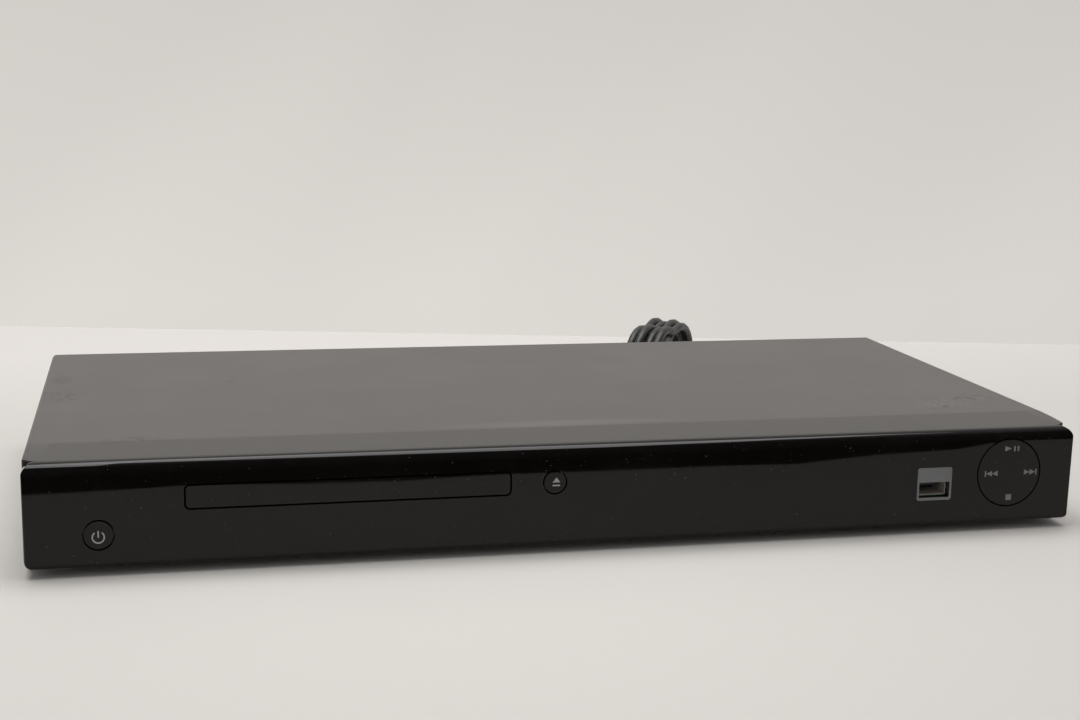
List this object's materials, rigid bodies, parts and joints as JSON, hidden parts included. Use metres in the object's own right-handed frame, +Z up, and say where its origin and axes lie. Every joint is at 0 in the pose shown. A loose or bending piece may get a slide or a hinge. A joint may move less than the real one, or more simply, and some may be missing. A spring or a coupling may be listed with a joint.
{
  "type": "disc player with tray",
  "caption": "Slim full-width disc player with a motor-driven loading tray, a rocking round keypad, two push buttons, a front USB socket and a mains lead tied in a hank.",
  "frame": {"origin": "under the middle of the player, without its mains lead, on the surface that its feet stand on", "axes": "+X to the right as seen from the front, +Y from the front face towards the rear sockets, +Z up"},
  "size_m": [0.43, 0.3027, 0.0473],
  "materials": {
    "cover_paint": "satin",
    "sheet_steel": "satin",
    "gloss_black": "gloss",
    "foot_rubber": "matte",
    "screw_black": "satin",
    "screw_zinc": "satin",
    "grey_plate": "satin",
    "socket_steel": "satin",
    "white_plastic": "satin",
    "circuit_board": "satin",
    "switch_body": "satin",
    "tray_plastic": "satin",
    "frame_plastic": "satin",
    "damper_rubber": "matte",
    "belt_rubber": "matte",
    "gear_plastic": "satin",
    "motor_steel": "satin",
    "copper_wound": "satin",
    "pickup_metal": "satin",
    "lens_glass": "gloss",
    "polished_steel": "gloss",
    "clamper_plastic": "satin",
    "core_ferrite": "matte",
    "capacitor_sleeve": "satin",
    "bare_aluminium": "satin",
    "input_parts": "satin",
    "jack_plated": "satin",
    "cable_film": "satin",
    "wire_sheath": "satin",
    "lead_sheath": "satin",
    "tie_plastic": "satin"
  },
  "bodies": {
    "base": {"chassis": "sheet_steel", "rear_panel": "sheet_steel", "top_cover": "cover_paint", "front_bezel": "gloss_black", "foot_front_left": "foot_rubber", "foot_front_right": "foot_rubber", "foot_rear_left": "foot_rubber", "foot_rear_right": "foot_rubber", "case_screws": "screw_black", "loader_screws": "screw_zinc", "board_screws": "screw_zinc", "usb_plate": "grey_plate", "usb_shell": "socket_steel", "usb_insert": "white_plastic", "usb_board": "circuit_board", "power_key_board": "circuit_board", "eject_key_board": "circuit_board", "keypad_board": "circuit_board", "key_switches": "switch_body", "loader_frame": "frame_plastic", "loader_dampers": "damper_rubber", "loading_motor": "motor_steel", "drive_belt": "belt_rubber", "clamp_bridge": "sheet_steel", "power_board": "circuit_board", "transformer": "core_ferrite", "capacitors": "capacitor_sleeve", "heat_sink": "bare_aluminium", "mains_input": "input_parts", "main_board": "circuit_board", "main_chips": "switch_body", "av_jacks": "jack_plated", "hdmi_socket": "socket_steel", "flat_cables": "cable_film", "power_wires": "wire_sheath", "strain_relief": "lead_sheath", "mains_lead": "lead_sheath", "lead_hank": "lead_sheath", "hank_tie": "tie_plastic", "plug_lead": "lead_sheath", "mains_plug": "lead_sheath"},
    "tray": {"tray": "tray_plastic", "tray_door": "gloss_black"},
    "drive_gear": {"drive_gear": "gear_plastic"},
    "pulley_gear": {"pulley_gear": "gear_plastic"},
    "motor_pulley": {"motor_pulley": "gear_plastic"},
    "cam_slider": {"cam_slider": "gear_plastic"},
    "traverse": {"traverse": "frame_plastic", "spindle_motor": "copper_wound", "guide_rods": "polished_steel", "sled_motor": "motor_steel"},
    "turntable": {"turntable": "switch_body"},
    "clamper": {"clamper": "clamper_plastic"},
    "pickup": {"pickup": "pickup_metal"},
    "lens": {"pickup_lens": "lens_glass"},
    "lead_screw": {"lead_screw": "polished_steel"},
    "power_button": {"power_button": "gloss_black"},
    "eject_button": {"eject_button": "gloss_black"},
    "keypad_cross": {"keypad_cross": "white_plastic"},
    "keypad_disc": {"keypad_disc": "gloss_black"}
  },
  "joints": [
    {"name": "tray_slide", "type": "slide", "parent": "base", "child": "tray", "axis": [0, -1, 0], "range_m": [0, 0.138]},
    {"name": "drive_gear_spin", "type": "hinge", "parent": "base", "child": "drive_gear", "pos_m": [-0.0576, -0.0745, 0.02], "axis": [0, 0, 1], "range_deg": [-989, 0]},
    {"name": "pulley_gear_spin", "type": "hinge", "parent": "base", "child": "pulley_gear", "pos_m": [-0.0768, -0.0745, 0.02], "axis": [0, 0, 1], "range_deg": [0, 2966]},
    {"name": "motor_pulley_spin", "type": "hinge", "parent": "base", "child": "motor_pulley", "pos_m": [-0.1096, -0.0775, 0.02], "axis": [0, 0, 1], "range_deg": [0, 8500]},
    {"name": "cam_slide", "type": "slide", "parent": "base", "child": "cam_slider", "axis": [1, 0, 0], "range_m": [0, 0.018]},
    {"name": "traverse_tilt", "type": "hinge", "parent": "base", "child": "traverse", "pos_m": [-0.0936, 0.0565, 0.017], "axis": [1, 0, 0], "range_deg": [0, 2.83]},
    {"name": "spindle_spin", "type": "hinge", "parent": "traverse", "child": "turntable", "pos_m": [-0.0936, -0.0315, 0.02], "axis": [0, 0, 1], "continuous": true},
    {"name": "clamper_spin", "type": "hinge", "parent": "base", "child": "clamper", "pos_m": [-0.0936, -0.0315, 0.034], "axis": [0, 0, 1], "continuous": true},
    {"name": "pickup_slide", "type": "slide", "parent": "traverse", "child": "pickup", "axis": [0, 1, 0], "range_m": [0, 0.034]},
    {"name": "screw_spin", "type": "hinge", "parent": "traverse", "child": "lead_screw", "pos_m": [-0.0596, 0.0125, 0.017], "axis": [0, 1, 0], "range_deg": [0, 4081]},
    {"name": "lens_focus", "type": "slide", "parent": "pickup", "child": "lens", "axis": [0, 0, 1], "range_m": [-0.0005, 0.0005], "stiffness_N_per_m": 300},
    {"name": "power_press", "type": "slide", "parent": "base", "child": "power_button", "axis": [0, 1, 0], "range_m": [0, 0.0005], "stiffness_N_per_m": 400},
    {"name": "eject_press", "type": "slide", "parent": "base", "child": "eject_button", "axis": [0, 1, 0], "range_m": [0, 0.0005], "stiffness_N_per_m": 400},
    {"name": "keypad_rock_x", "type": "hinge", "parent": "base", "child": "keypad_cross", "pos_m": [0.1854, -0.1015, 0.025], "axis": [1, 0, 0], "range_deg": [-2, 2], "stiffness_Nm_per_rad": 0.2},
    {"name": "keypad_rock_z", "type": "hinge", "parent": "keypad_cross", "child": "keypad_disc", "pos_m": [0.1854, -0.1015, 0.025], "axis": [0, 0, 1], "range_deg": [-2, 2], "stiffness_Nm_per_rad": 0.2}
  ],
  "couplings": [
    {"joint": "drive_gear_spin", "follows": "tray_slide", "rad_per_m": -125},
    {"joint": "pulley_gear_spin", "follows": "tray_slide", "rad_per_m": 375},
    {"joint": "motor_pulley_spin", "follows": "tray_slide", "rad_per_m": 1075},
    {"joint": "traverse_tilt", "follows": "cam_slide", "rad_per_m": 2.7408},
    {"joint": "clamper_spin", "follows": "spindle_spin", "ratio": 1},
    {"joint": "screw_spin", "follows": "pickup_slide", "rad_per_m": 2094.4}
  ]
}
